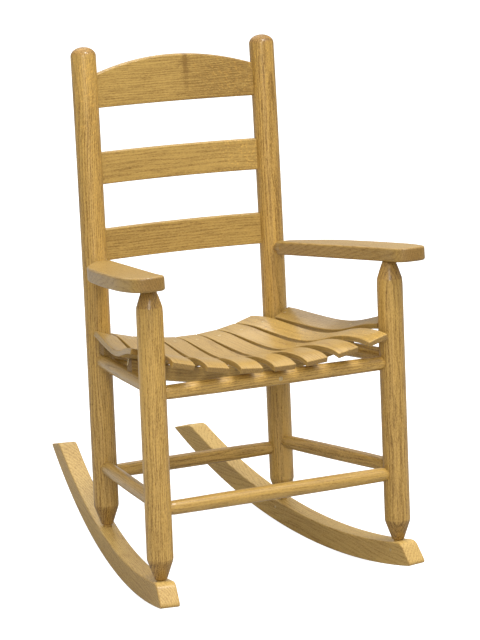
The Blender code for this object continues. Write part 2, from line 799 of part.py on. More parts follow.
clear_scene()
CHAIR = new_collection("rocking chair")
CUTTERS = new_collection("cutters", hidden=True)
build_chair()
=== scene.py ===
# %% [markdown]
# # A child's oak rocking chair
# The chair is turned posts and rungs, sawn back slats and arms, bent seat slats and two curved
# rockers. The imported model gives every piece's place and size. Here each one is made again as a
# woodworker would see it, with rounded edges and real grain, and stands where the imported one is.

import math
import random

import bmesh
import bpy
from mathutils import Matrix, Vector


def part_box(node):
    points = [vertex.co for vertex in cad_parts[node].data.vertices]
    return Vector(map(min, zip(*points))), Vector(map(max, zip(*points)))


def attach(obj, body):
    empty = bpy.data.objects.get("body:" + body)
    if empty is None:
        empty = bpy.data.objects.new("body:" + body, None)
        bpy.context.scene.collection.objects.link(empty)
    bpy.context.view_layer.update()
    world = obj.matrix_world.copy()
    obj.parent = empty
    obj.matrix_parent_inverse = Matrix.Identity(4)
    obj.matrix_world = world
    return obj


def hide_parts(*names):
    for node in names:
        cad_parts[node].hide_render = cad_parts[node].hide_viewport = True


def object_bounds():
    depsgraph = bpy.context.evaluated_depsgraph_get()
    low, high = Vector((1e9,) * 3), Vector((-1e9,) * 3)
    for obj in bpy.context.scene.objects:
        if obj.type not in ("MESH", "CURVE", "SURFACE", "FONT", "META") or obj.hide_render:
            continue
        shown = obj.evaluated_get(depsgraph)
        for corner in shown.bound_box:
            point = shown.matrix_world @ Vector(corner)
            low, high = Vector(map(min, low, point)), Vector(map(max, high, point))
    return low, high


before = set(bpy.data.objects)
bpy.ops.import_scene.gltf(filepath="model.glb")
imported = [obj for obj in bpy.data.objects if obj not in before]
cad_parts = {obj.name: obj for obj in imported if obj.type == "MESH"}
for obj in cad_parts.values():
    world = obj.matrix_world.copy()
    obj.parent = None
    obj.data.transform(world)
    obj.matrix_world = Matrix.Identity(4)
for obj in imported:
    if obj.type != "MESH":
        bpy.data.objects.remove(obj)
CAD_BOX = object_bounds()
print("chair", [round(1000 * side) for side in CAD_BOX[1] - CAD_BOX[0]], "mm")

# %% [markdown]
# The sizes are those of the real chair, in metres. The posts lean back and a little towards
# each other, so a post's middle line is a function of height. The back posts also bend: they
# were steamed and clamped in a curve, which makes the back comfortable.

# %% Sizes and middle lines of the posts
SIDES = (("left", -1), ("right", 1))

# For each metre of height a post goes back by LEAN and inwards by TOE. DEPTH is from the front
# posts to the back ones, and the back posts' bend grows with height from BEND_START.
POST_RADIUS, LEAN, TOE = 0.0175, 0.0928, 0.0042
FRONT_HALF, BACK_HALF, DEPTH = 0.1771, 0.1383, 0.2757
BEND_START, BEND_LENGTH, BEND_BACK = 0.250, 0.450, 0.0083
TENON_RADIUS = 0.00635
rung_middle = sum(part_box("lower_rung_front"), Vector()) / 2
FRONT_Y = rung_middle.y - LEAN * rung_middle.z
BACK_Y = FRONT_Y + DEPTH


def front_axis(height, side):
    return Vector((side * (FRONT_HALF - TOE * height), FRONT_Y + LEAN * height, height))


def back_axis(height, side):
    over = max(0.0, height - BEND_START) / BEND_LENGTH
    x = side * (BACK_HALF - TOE * height)
    return Vector((x, BACK_Y + LEAN * height + BEND_BACK * over * over, height))


print("front posts stand", round(2000 * FRONT_HALF), "mm apart and back posts", round(2000 * BACK_HALF))

# %% [markdown]
# Wood is a solid material: the same growth rings run through a board and come out on every
# face. So each piece is made straight, with X along its grain, and every point remembers where
# it was in the log. Then the piece is bent and moved into place, and its grain bends with it.
# Each face also remembers how far it is cut across the grain, because end grain soaks up
# lacquer and looks darker. On the rockers the same value also carries painted shade on their sides.

# %% A place in the log
random.seed(11)
HEART, BARK, LOG_END = 0.035, 0.080, 2


def log_place():
    """A place anywhere along the log and round it, between its heart and its bark."""
    turn = random.uniform(0, math.tau)
    reach = random.uniform(HEART, BARK)
    return Vector((random.uniform(-LOG_END, LOG_END), reach * math.cos(turn), reach * math.sin(turn)))


print("pieces come from", round(1000 * HEART), "to", round(1000 * BARK), "mm off the log's middle")

# %% [markdown]
# A flat face should shade flat right up to its rounded edge, while the edge itself shades
# smoothly. Blender's own smooth shading tips the flat face's corners towards the edge and makes
# a board look like a cushion. So each corner is given the mean direction of the faces that meet
# it smoothly, counted by their area, and the large flat face wins.

# %% Corners for shading
SMOOTH_ABOVE = 0.8


def corner_directions(bm):
    """Which way each face corner looks: the mean of the faces that meet it smoothly, by area."""
    area = {face: face.calc_area() for face in bm.faces}
    directions = []
    for face in bm.faces:
        for loop in face.loops:
            around = loop.vert.link_faces
            near = [other for other in around if other.normal.dot(face.normal) > SMOOTH_ABOVE]
            total = sum((other.normal * area[other] for other in near), Vector())
            directions.append(total.normalized() if total.length > 0 else face.normal.copy())
    return directions


print("faces within", round(math.degrees(math.acos(SMOOTH_ABOVE))), "degrees shade as one surface")

# %% [markdown]
# Every piece is finished the same way. Four values are written on it while it is still
# straight: its place in the log, how much end grain a face shows (on a rocker's sides, painted
# shade), how much ray fleck, and any stain. Then it is bent and moved to its place, and it takes
# over from the imported piece.

# %% Finishing a piece
LITTLE_FLECK = 0.25
PIECES = []


def sawn_end(normal):
    """A face shows end grain when it looks along X, across the fibres."""
    return normal.x ** 2


def finish(node, bm, place, material, grain, slot, fleck=None, cross_grain_and_shade_by=sawn_end, mark=None):
    """Records the grain, bends the piece into place and puts it in the scene."""
    cut = bm.faces.layers.float.new("cross_grain_and_shade")
    home = bm.verts.layers.float_vector.new("grain")
    figure = bm.verts.layers.float.new("fleck")
    stain = bm.verts.layers.float.new("mark")
    for face in bm.faces:
        face.normal_update()
        face[cut] = cross_grain_and_shade_by(face.normal)
    for vertex in bm.verts:
        vertex[home] = vertex.co + grain
        vertex[figure] = fleck(vertex.co) if fleck else LITTLE_FLECK
        vertex[stain] = mark(vertex.co) if mark else 0.0
    for vertex in bm.verts:
        vertex.co = place(vertex.co.copy())
    bmesh.ops.recalc_face_normals(bm, faces=bm.faces)
    directions = corner_directions(bm)
    name = node + ("_metal" if slot == "plated_steel" else "_wood")
    mesh = bpy.data.meshes.new(name)
    bm.to_mesh(mesh)
    bm.free()
    mesh.shade_smooth()
    mesh.normals_split_custom_set(directions)
    mesh.materials.append(material)
    piece = bpy.data.objects.new(name, mesh)
    bpy.context.scene.collection.objects.link(piece)
    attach(piece, "root")
    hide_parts(node)
    ours = [pick(vertex.co[side] for vertex in mesh.vertices) for pick in (min, max) for side in range(3)]
    packed = [*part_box(node)[0], *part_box(node)[1]]
    off = max(abs(a - b) for a, b in zip(ours, packed))
    PIECES.append((node, round(1000 * off, 1)))


print("most pieces show", LITTLE_FLECK, "of the fleck that a quarter-sawn one shows")

# %% [markdown]
# A material is a tree of small sums, mixes and patterns. Each of these helpers adds one of
# them, so that the recipes further down read like sums.

# %% Short names for shader nodes
def node(tree, kind, place=(0, 0), **settings):
    made = tree.nodes.new(kind)
    made.location = place
    for key, value in settings.items():
        setattr(made, key, value)
    return made


def maths(tree, operation, first, second=0.5, third=None, clamp=False):
    """A Math node. Each of its inputs is a number or another node's output."""
    made = node(tree, "ShaderNodeMath", operation=operation, use_clamp=clamp)
    for socket, value in zip(made.inputs, (first, second, third)):
        if isinstance(value, (int, float)):
            socket.default_value = value
        elif value is not None:
            tree.links.new(value, socket)
    return made.outputs[0]


def vectors(tree, operation, first, second):
    """A Vector Math node on a node's output and on another, or on three numbers."""
    made = node(tree, "ShaderNodeVectorMath", operation=operation)
    tree.links.new(first, made.inputs[0])
    if isinstance(second, tuple):
        made.inputs[1].default_value = second
    else:
        tree.links.new(second, made.inputs[1])
    return made.outputs[0]


def noise(tree, vector, scale, detail=3.0, roughness=0.55, output="Fac"):
    """Noise with this many grains to a metre along each axis: fewer along X make streaks."""
    vector = vectors(tree, "MULTIPLY", vector, scale)
    made = node(tree, "ShaderNodeTexNoise")
    made.inputs["Scale"].default_value = 1.0
    made.inputs["Detail"].default_value = detail
    made.inputs["Roughness"].default_value = roughness
    tree.links.new(vector, made.inputs["Vector"])
    return made.outputs[output]


def ramp(tree, value, low, high):
    """A soft step from 0 at the low value to 1 at the high one."""
    made = node(tree, "ShaderNodeMapRange", interpolation_type="SMOOTHSTEP", clamp=True)
    made.inputs["From Min"].default_value = low
    made.inputs["From Max"].default_value = high
    tree.links.new(value, made.inputs["Value"])
    return made.outputs["Result"]


def blend_colours(tree, factor, first, second, kind="MIX"):
    made = node(tree, "ShaderNodeMix", data_type="RGBA", blend_type=kind, clamp_factor=True)
    colour_sockets = [socket for socket in made.inputs if socket.type == "RGBA"]
    for socket, value in zip([made.inputs[0], *colour_sockets], (factor, first, second)):
        if isinstance(value, (tuple, float)):
            socket.default_value = value
        else:
            tree.links.new(value, socket)
    return made.outputs[2]


def tinted(tree, factor, colour, tint):
    """The colour, and the colour times a tint where the factor is 1."""
    return blend_colours(tree, factor, colour, blend_colours(tree, 1.0, colour, tint, "MULTIPLY"))


sample = bpy.data.node_groups.new("sample", "ShaderNodeTree")
ramp(sample, maths(sample, "ADD", 1.0, 2.0), 0.0, 1.0)
print("a sum and a ramp make", len(sample.nodes), "nodes")
bpy.data.node_groups.remove(sample)

# %% [markdown]
# Oak has three layers of pattern. Growth rings are bands a few millimetres wide: each begins
# with large open pores, which drink the stain and turn dark. The pores themselves are short
# dark dashes along the grain. Rays are thin plates that run out from the heart of the log, and
# where a face cuts along them they show as silvery flecks. One node group makes all three from
# the remembered place in the log, so that every oak piece shares it.
#
# The rings are circles about the middle of the log. They wander a little along its length,
# which draws arches on a flat or a round face. Early wood is the dark part of each ring.

# %% Growth rings
RING_WIDTH = 0.0030
WANDER = (0.0, 0.016, 0.016)


def growth_rings(tree, grain):
    """Early wood from 0 to 1, and the place in the log as distance along, radius and turn."""
    wander = noise(tree, grain, (5.0, 22.0, 22.0), 2.0, 0.5, "Color")
    wander = vectors(tree, "SUBTRACT", wander, (0.5, 0.5, 0.5))
    moved = vectors(tree, "ADD", grain, vectors(tree, "MULTIPLY", wander, WANDER))
    parts = node(tree, "ShaderNodeSeparateXYZ")
    tree.links.new(moved, parts.inputs[0])
    x, y, z = parts.outputs
    squares = maths(tree, "ADD", maths(tree, "MULTIPLY", y, y), maths(tree, "MULTIPLY", z, z))
    radius = maths(tree, "SQRT", squares)
    turn = maths(tree, "ARCTAN2", z, y)
    ring = maths(tree, "FRACT", maths(tree, "MULTIPLY", radius, 1 / RING_WIDTH))
    early = maths(tree, "SUBTRACT", 1.0, ramp(tree, ring, 0.10, 0.62))
    return early, x, radius, turn


print("a growth ring is", 1000 * RING_WIDTH, "mm wide")

# %% [markdown]
# A ray is a plate that stands out from the middle of the log, so its noise is stretched along
# the radius and squeezed around it.

# %% Rays
RAY_GRAINS, RAY_SLANT = (330.0, 90.0, 26.0), 0.55


def rays(tree, x, radius, turn):
    """Ray fleck from 0 to 1 at this distance along the log, radius and turn."""
    place = node(tree, "ShaderNodeCombineXYZ")
    slant = maths(tree, "MULTIPLY_ADD", radius, RAY_SLANT, x)
    for socket, value in zip(place.inputs, (slant, radius, turn)):
        tree.links.new(value, socket)
    return ramp(tree, noise(tree, place.outputs[0], RAY_GRAINS, 2.0, 0.6), 0.53, 0.64)


print("a ray is about", round(1000 / RAY_GRAINS[0]), "by", round(1000 / RAY_GRAINS[1]), "mm")

# %% [markdown]
# The group adds the dark things together, mixes the late wood's colour with the early wood's
# by that darkness, and then tints the end grain darker, with the painted shade on the rockers'
# sides, and the rays lighter. It also puts out a roughness and a height, so that pores are
# rougher and lie deeper than the wood around them.

# %% Oak grain group
# The first tint darkens end grain, and on the rockers it also paints shade on their sides.
CROSS_GRAIN_AND_SHADE_TINT, RAY_TINT = (0.60, 0.53, 0.42, 1), (1.38, 1.34, 1.22, 1)


def oak_group():
    tree = bpy.data.node_groups.new("oak grain", "ShaderNodeTree")
    for name, kind in (
        ("Grain", "Vector"), ("Cross Grain and Shade", "Float"), ("End Darkness", "Float"), ("Fleck", "Float"),
        ("Mark", "Float"), ("Late Wood", "Color"), ("Early Wood", "Color"), ("Figure", "Float"),
    ):
        tree.interface.new_socket(name, in_out="INPUT", socket_type="NodeSocket" + kind)
    for name, kind in (("Color", "Color"), ("Roughness", "Float"), ("Height", "Float")):
        tree.interface.new_socket(name, in_out="OUTPUT", socket_type="NodeSocket" + kind)
    given = node(tree, "NodeGroupInput", (-1400, 0)).outputs
    out = node(tree, "NodeGroupOutput", (1200, 0)).inputs
    grain = given["Grain"]
    early, x, radius, turn = growth_rings(tree, grain)

    # Streaks and pores are long thin noise, finer and shorter for the pores. Specks and clouds
    # are the unevenness of the wood between them, close to and over a whole board.
    streak = ramp(tree, noise(tree, grain, (26.0, 520.0, 520.0), 3.0), 0.42, 0.68)
    pore = ramp(tree, noise(tree, grain, (170.0, 1250.0, 1250.0), 1.0), 0.52, 0.66)
    pore = maths(tree, "MULTIPLY", pore, maths(tree, "MULTIPLY_ADD", early, 0.7, 0.3))
    speck = noise(tree, grain, (330.0, 1000.0, 1000.0), 2.0, 0.7)
    cloud = noise(tree, grain, (3.0, 16.0, 16.0), 2.0, 0.5)

    dark = maths(tree, "MULTIPLY", early, 0.26)
    dark = maths(tree, "MULTIPLY_ADD", streak, 0.38, dark)
    dark = maths(tree, "MULTIPLY_ADD", pore, 0.46, dark)
    dark = maths(tree, "MULTIPLY_ADD", maths(tree, "SUBTRACT", speck, 0.5), 1.5, dark)
    dark = maths(tree, "MULTIPLY_ADD", maths(tree, "SUBTRACT", cloud, 0.5), 0.9, dark)
    dark = maths(tree, "MULTIPLY", dark, given["Figure"])
    stain = maths(tree, "MULTIPLY", given["Mark"], maths(tree, "ADD", speck, 0.5))
    dark = maths(tree, "ADD", dark, stain, clamp=True)
    wood = blend_colours(tree, dark, given["Late Wood"], given["Early Wood"])

    # This darkening is end grain, and on the rockers' sides it is painted shade.
    end = maths(tree, "MULTIPLY", given["Cross Grain and Shade"], given["End Darkness"])
    end = maths(tree, "MULTIPLY", end, maths(tree, "MULTIPLY_ADD", speck, 1.0, 0.35), clamp=True)
    wood = tinted(tree, end, wood, CROSS_GRAIN_AND_SHADE_TINT)
    ray = maths(tree, "MULTIPLY", rays(tree, x, radius, turn), given["Fleck"], clamp=True)
    wood = tinted(tree, maths(tree, "MULTIPLY", ray, 0.75), wood, RAY_TINT)
    tree.links.new(wood, out["Color"])

    rough = maths(tree, "MULTIPLY_ADD", pore, 0.14, 0.40)
    rough = maths(tree, "MULTIPLY_ADD", given["Cross Grain and Shade"], 0.16, rough)
    rough = maths(tree, "MULTIPLY_ADD", speck, 0.10, rough)
    tree.links.new(rough, out["Roughness"])
    grooves = maths(tree, "ADD", pore, maths(tree, "MULTIPLY", streak, 0.5))
    height = maths(tree, "MULTIPLY", grooves, -1.0)
    height = maths(tree, "MULTIPLY_ADD", cloud, 1.2, height)
    tree.links.new(height, out["Height"])
    return tree


OAK = oak_group()
print("the oak group has", len(OAK.nodes), "nodes")

# %% [markdown]
# The chair is lacquered, so each material is a satin wood with a clear coat over it. Pieces
# from different boards differ: posts are streaky, the arms and the seat slats were picked
# from paler and calmer boards.

# %% Oak materials
def oak(name, late, early, figure, coat, end=1.0):
    """Lacquered oak from its light and dark wood, how bold its figure is and how thick its coat."""
    material = bpy.data.materials.new(name)
    material.use_nodes = True
    tree = material.node_tree
    shader = tree.nodes["Principled BSDF"]
    group = node(tree, "ShaderNodeGroup", (-600, 100), node_tree=OAK)
    for row, (written, output, given) in enumerate((
        ("grain", "Vector", "Grain"), ("cross_grain_and_shade", "Fac", "Cross Grain and Shade"),
        ("fleck", "Fac", "Fleck"), ("mark", "Fac", "Mark"),
    )):
        read = node(tree, "ShaderNodeAttribute", (-900, 200 - 200 * row), attribute_name=written)
        tree.links.new(read.outputs[output], group.inputs[given])
    group.inputs["Late Wood"].default_value = (*late, 1)
    group.inputs["Early Wood"].default_value = (*early, 1)
    group.inputs["Figure"].default_value = figure
    group.inputs["End Darkness"].default_value = end
    bumps = node(tree, "ShaderNodeBump", (-300, -200))
    bumps.inputs["Strength"].default_value = 0.25
    bumps.inputs["Distance"].default_value = 0.0003
    tree.links.new(group.outputs["Height"], bumps.inputs["Height"])
    tree.links.new(group.outputs["Color"], shader.inputs["Base Color"])
    tree.links.new(group.outputs["Roughness"], shader.inputs["Roughness"])
    tree.links.new(bumps.outputs["Normal"], shader.inputs["Normal"])
    shader.inputs["Coat Weight"].default_value = coat
    shader.inputs["Coat Roughness"].default_value = 0.18
    shader.inputs["Specular IOR Level"].default_value = 0.32
    shader.inputs["Coat Tint"].default_value = (1.0, 0.94, 0.82, 1)
    return material


POST_OAK = oak("streaky oak", (0.480, 0.298, 0.076), (0.180, 0.095, 0.017), 1.15, 0.35)
RUNG_OAK = oak("rung oak", (0.425, 0.268, 0.068), (0.198, 0.110, 0.021), 0.9, 0.5)
BACK_OAK = oak("slat oak", (0.395, 0.252, 0.066), (0.188, 0.103, 0.021), 1.0, 0.2)
ARM_OAK = oak("pale arm oak", (0.372, 0.240, 0.070), (0.205, 0.116, 0.024), 1.0, 0.3, 1.25)
SEAT_OAK = oak("pale seat oak", (0.395, 0.255, 0.070), (0.220, 0.126, 0.029), 0.9, 0.45, 0.8)
ROCKER_OAK = oak("rocker oak", (0.560, 0.380, 0.122), (0.300, 0.168, 0.040), 1.0, 0.15, 1.0)
OAKS = (POST_OAK, RUNG_OAK, BACK_OAK, ARM_OAK, SEAT_OAK, ROCKER_OAK)
print(len(OAKS), "oaks:", [material.name for material in OAKS])

# %% [markdown]
# A turned piece is drawn as half a profile, distance along and radius, and spun. A turner
# leaves each corner slightly soft, so the line is eased at its corners. A piece that is bent
# afterwards also needs points along its straight stretches.

# %% Turned solids
WELD = 0.00001


def rounded_corner(before, corner, after, back, on, steps):
    """Points round a corner, from this far back along one side to this far on along the other."""
    first = corner + (before - corner).normalized() * back
    last = corner + (after - corner).normalized() * on
    shares = [step / steps for step in range(steps + 1)]
    return [first.lerp(corner, t).lerp(corner.lerp(last, t), t) for t in shares]


def eased(points, reach, steps=4):
    """The same open line with every inner corner rounded, starting up to this far before it."""
    points = [Vector(point) for point in points]
    line = [points[0]]
    for before, corner, after in zip(points, points[1:], points[2:]):
        size = min(reach, 0.45 * (before - corner).length, 0.45 * (after - corner).length)
        line += rounded_corner(before, corner, after, size, size, steps)
    return line + [points[-1]]


def divided(points, longest):
    """The same line with points no further apart than this."""
    line = [points[0]]
    for start, end in zip(points, points[1:]):
        count = max(1, math.ceil((end - start).length / longest))
        line += [start.lerp(end, step / count) for step in range(1, count + 1)]
    return line


def spun(profile, sides=48):
    """A solid turned about X from (distance along, radius) points."""
    bm = bmesh.new()
    corners = [bm.verts.new((along, radius, 0)) for along, radius in profile]
    edges = [bm.edges.new(pair) for pair in zip(corners, corners[1:])]
    bmesh.ops.spin(bm, geom=corners + edges, cent=(0, 0, 0), axis=(1, 0, 0),
                   angle=math.tau, steps=sides, use_merge=True)
    bmesh.ops.remove_doubles(bm, verts=bm.verts, dist=WELD)
    bmesh.ops.recalc_face_normals(bm, faces=bm.faces)
    return bm


print("an eased corner has", len(eased([(0, 0), (0, 1), (1, 1)], 0.1)) - 2, "points")

# %% [markdown]
# A post has a cone at its foot that leads into a tenon. A front post has a second cone under
# the arm, and a back post ends in a dome. The straight post is bent along its middle line. A
# turner's cone cuts across the grain, so it soaks up lacquer as an end does.

# %% Posts
POST_EASE, POST_STEP = 0.0006, 0.012
ARM_TENON, DOME_HEIGHT = 0.012, 0.0125
FLECK_STARTS = 0.40


def turned_slope(normal):
    return min(1.0, 2.3 * abs(normal.x))


def along_axis(axis, side):
    """Bends a straight turned piece, whose X is height, along a middle line."""
    def place(point):
        centre = axis(point.x, side)
        up = (axis(point.x + 0.001, side) - axis(point.x - 0.001, side)).normalized()
        across = Vector((1, 0, 0))
        across = (across - up * across.dot(up)).normalized()
        return centre + across * point.y + up.cross(across) * point.z
    return place


def foot_profile(bottom):
    """From the tenon's end, hidden in the rocker, to the full width above the foot's cone."""
    return [
        (bottom, 0), (bottom, TENON_RADIUS - 0.0006), (bottom + 0.0225, TENON_RADIUS - 0.0002),
        (bottom + 0.0232, 0.0083), (bottom + 0.0470, POST_RADIUS - 0.0008),
        (bottom + 0.0505, POST_RADIUS),
    ]


def front_post(word, side):
    low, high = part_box("front_post_" + word)
    neck = high.z - ARM_TENON
    profile = foot_profile(low.z + 0.0006) + [
        (neck - 0.0310, POST_RADIUS), (neck - 0.0232, 0.0170), (neck - 0.0170, 0.0150),
        (neck - 0.0110, 0.0130), (neck - 0.0055, 0.0110), (neck, 0.0088),
        (neck + 0.0008, TENON_RADIUS), (high.z - 0.0006, TENON_RADIUS), (high.z - 0.0006, 0),
    ]
    line = divided(eased(profile, POST_EASE), POST_STEP)
    finish("front_post_" + word, spun(line), along_axis(front_axis, side), POST_OAK, log_place(),
           "oak", cross_grain_and_shade_by=turned_slope)


def back_post(word, side):
    low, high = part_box("back_post_" + word)
    turns = [math.radians(6 * step) for step in range(16)]
    dome = [
        Vector((high.z - DOME_HEIGHT * (1 - math.sin(turn)), POST_RADIUS * math.cos(turn)))
        for turn in turns
    ]
    profile = eased(foot_profile(low.z + 0.0014) + [(high.z - 0.02, POST_RADIUS)], POST_EASE)

    def fleck(point):
        return LITTLE_FLECK + min(0.75, max(0.0, 2.5 * (point.x - FLECK_STARTS)))

    finish("back_post_" + word, spun(divided(profile + dome, POST_STEP)), along_axis(back_axis, side),
           POST_OAK, log_place(), "oak", fleck, turned_slope)


for word, side in SIDES:
    front_post(word, side)
    back_post(word, side)
print("posts, and how far each box is from the packed one in mm:", PIECES)

# %% [markdown]
# The rungs are turned too, a little fatter at the middle, and they go into holes in the posts.
# Each gives way to a short rounded shoulder before it disappears into its hole.

# %% Rungs
RUNG_EASE, RUNG_STEP = 0.004, 0.03


def between(start, end):
    """Moves a piece made along X to the start and turns it towards the end."""
    turn = (end - start).normalized().to_track_quat("X", "Z").to_matrix()
    return lambda point: start + turn @ point


def rung(node_name, start, end):
    """Half a profile is drawn, and the other half is its mirror image."""
    length = (end - start).length
    body = length / 2 - POST_RADIUS + 0.0030
    half = [
        (0, 0.0102), (0.25 * length, 0.0100), (body - 0.0060, 0.0095), (body, 0.0081),
        (body + 0.0005, TENON_RADIUS), (body + 0.0070, TENON_RADIUS), (body + 0.0070, 0),
    ]
    profile = [(-along, radius) for along, radius in reversed(half)] + half[1:]
    line = divided(eased(profile, RUNG_EASE), RUNG_STEP)
    wood = random.choice((RUNG_OAK, RUNG_OAK, POST_OAK))
    finish(node_name, spun(line, 40), between((start + end) / 2, end), wood, log_place(), "oak")


for name, axis, height in (
    ("lower_rung_front", front_axis, 0.1492), ("lower_rung_back", back_axis, 0.1127),
    ("seat_rung_front", front_axis, 0.3022), ("seat_rung_back", back_axis, 0.2648),
):
    rung(name, axis(height, -1), axis(height, 1))
for word, side in SIDES:
    rung("lower_rung_" + word, front_axis(0.1579, side), back_axis(0.1217, side))
    rung("seat_rung_" + word, front_axis(0.3095, side), back_axis(0.2735, side))
print(PIECES[-8:])

# %% [markdown]
# A board starts as a block whose edges are bevelled a little. It is then cut across into short
# lengths, which don't show, so that it can bend smoothly.

# %% Boards
def board(size, edge, cuts, segments=3):
    """A straight board with rounded edges. A cut is the side it runs across and how many lengths."""
    bm = bmesh.new()
    bmesh.ops.create_cube(bm, size=1.0)
    bmesh.ops.scale(bm, verts=bm.verts, vec=size)
    bmesh.ops.bevel(bm, geom=bm.edges[:], offset=edge, segments=segments, profile=0.5,
                    affect="EDGES", material=-1)
    for side, count in cuts:
        normal = Vector((0, 0, 0))
        normal[side] = 1
        for step in range(1, count):
            bmesh.ops.bisect_plane(bm, geom=bm.verts[:] + bm.edges[:] + bm.faces[:], plane_no=normal,
                                   plane_co=normal * size[side] * (step / count - 0.5))
    bmesh.ops.recalc_face_normals(bm, faces=bm.faces)
    return bm


sample = board((0.1, 0.01, 0.02), 0.001, ((0, 10),))
print("a board cut in ten has", len(sample.faces), "faces")
sample.free()

# %% [markdown]
# The back slats are thin boards, sawn to shape and then bent. The crest's arch is sawn through
# straight grain, so the grain is recorded after the arch is cut and before the bend. Two of
# them came from quarter-sawn boards and show ray fleck at one end.

# %% Back slats
BACK_SLAT_DEPTH, BACK_SLAT_EDGE, BACK_SLAT_BOW = 0.009, 0.0016, 0.0091
BACK_SLAT_HEIGHT, CREST_HEIGHT, CREST_RISE = 0.0435, 0.0402, 0.0241


def share_of(value, start, end):
    """0 before the start, 1 after the end and evenly between them."""
    return min(1.0, max(0.0, (value - start) / (end - start)))


def back_slat(node_name, end_height, rise, fleck=None, mark=None):
    low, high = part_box(node_name)
    spacing = back_axis(low.z + 0.5 * end_height, 1).x
    bm = board((high.x - low.x, BACK_SLAT_DEPTH, end_height), BACK_SLAT_EDGE, ((0, 80), (2, 6)))
    for vertex in bm.verts:
        share = min(1.0, abs(vertex.co.x) / spacing)
        level = vertex.co.z / end_height + 0.5
        vertex.co.z = level * (end_height + rise * (1 - share ** 2)) - end_height / 2

    def place(point):
        share = min(1.0, abs(point.x) / spacing)
        height = low.z + end_height / 2 + point.z
        y = back_axis(height, 1).y + BACK_SLAT_BOW * (1 - share ** 2)
        return Vector((point.x, y + point.y, height))

    finish(node_name, bm, place, BACK_OAK, log_place(), "oak", fleck, mark=mark)


def fleck_to_right(start, end):
    return lambda point: 0.12 + 1.1 * share_of(point.x, start, end)


def crest_stain(point):
    """A thin mineral streak across the crest, darkest at its top edge, and a darker right end."""
    streak = math.exp(-((point.x - 0.018) / 0.0034) ** 2) * min(1.0, max(0.0, 0.35 + 20 * point.z))
    return 0.8 * streak + 0.34 * share_of(point.x, -0.01, 0.06)


back_slat("ladder_slat_crest", CREST_HEIGHT, CREST_RISE, fleck_to_right(0.01, 0.09), crest_stain)
back_slat("ladder_slat_middle", BACK_SLAT_HEIGHT, 0.0, fleck_to_right(0.03, 0.10))
back_slat("ladder_slat_lower", BACK_SLAT_HEIGHT, 0.0)
print(PIECES[-3:])

# %% [markdown]
# Arms and rockers are cut from flat boards with a bandsaw and their edges rounded with a
# router. A flat outline filled and extruded, with a small round bevel, is the same shape.

# %% Boards cut to an outline
def sawn(outline, thickness, edge):
    """A flat board in the XY plane with this closed outline and rounded edges."""
    bm = bmesh.new()
    ring = [bm.verts.new((x, y, -thickness / 2)) for x, y in outline]
    face = bm.faces.new(ring)
    if face.normal.z > 0:
        face.normal_flip()
    grown = bmesh.ops.extrude_face_region(bm, geom=[face])
    top = [item for item in grown["geom"] if isinstance(item, bmesh.types.BMVert)]
    bmesh.ops.translate(bm, verts=top, vec=(0, 0, thickness))
    bmesh.ops.recalc_face_normals(bm, faces=bm.faces)
    rims = [
        item for item in bm.edges
        if sorted(round(abs(f.normal.z)) for f in item.link_faces) == [0, 1]
    ]
    bmesh.ops.bevel(bm, geom=rims, offset=edge, segments=4, profile=0.5, affect="EDGES",
                    clamp_overlap=False, material=-1)
    bmesh.ops.recalc_face_normals(bm, faces=bm.faces)
    return bm


def closed_outline(corners, steps=7):
    """A closed outline from (x, y, how far before the corner its rounding starts)."""
    line = []
    for index, (x, y, reach) in enumerate(corners):
        corner = Vector((x, y))
        before = Vector(corners[index - 1][:2])
        after = Vector(corners[(index + 1) % len(corners)][:2])
        back = min(reach, 0.48 * (before - corner).length)
        on = min(reach, 0.48 * (after - corner).length)
        line += rounded_corner(before, corner, after, back, on, steps)
    return line


print("a square with round corners has", len(closed_outline([(0, 0, 1), (9, 0, 1), (9, 9, 1), (0, 9, 1)])),
      "points")

# %% [markdown]
# An arm falls towards the back at about nine degrees. Its rear end is turned like the nose of
# a bullet and goes into the back post.

# %% Arms
FALL = 0.1616
STRETCH = math.hypot(1, FALL)
NOSE_Y = FRONT_Y - 0.0034
JOINT_Y = 0.064  # roughly where an arm meets its back post
ARM_THICKNESS, ARM_EDGE = 0.019, 0.0030
ARM_INNER, ARM_OUTER = FRONT_HALF - 0.0110, FRONT_HALF + 0.0394


def arm_top(y):
    return 0.4611 - FALL * (y - FRONT_Y - 0.0241)


def arm_outline(run, inner, outer):
    """Seen from above, with X back along the arm and Y outwards from its rear end."""
    return closed_outline([
        (run, -0.0102, 0.004), (0.14 * run, inner - 0.0020, 0.015), (0, inner + 0.0010, 0.018),
        (0, outer - 0.0055, 0.020), (0.17 * run, outer, 0.020), (0.446 * run, outer - 0.0090, 0.030),
        (0.778 * run, 0.37 * outer + 0.0240, 0.030), (run, 0.0140, 0.008),
    ])


def turned_end(run):
    """The bullet-shaped end, as a mesh that can be joined to the arm."""
    bm = spun(eased([
        (run - 0.012, 0), (run - 0.012, 0.0094), (run, 0.0098), (run + 0.004, 0.0094),
        (run + 0.009, 0.0084), (run + 0.0135, 0.0070), (run + 0.0165, TENON_RADIUS - 0.001),
        (run + 0.024, TENON_RADIUS - 0.001), (run + 0.024, 0),
    ], 0.003), 40)
    mesh = bpy.data.meshes.new("turned end")
    bm.to_mesh(mesh)
    bm.free()
    return mesh


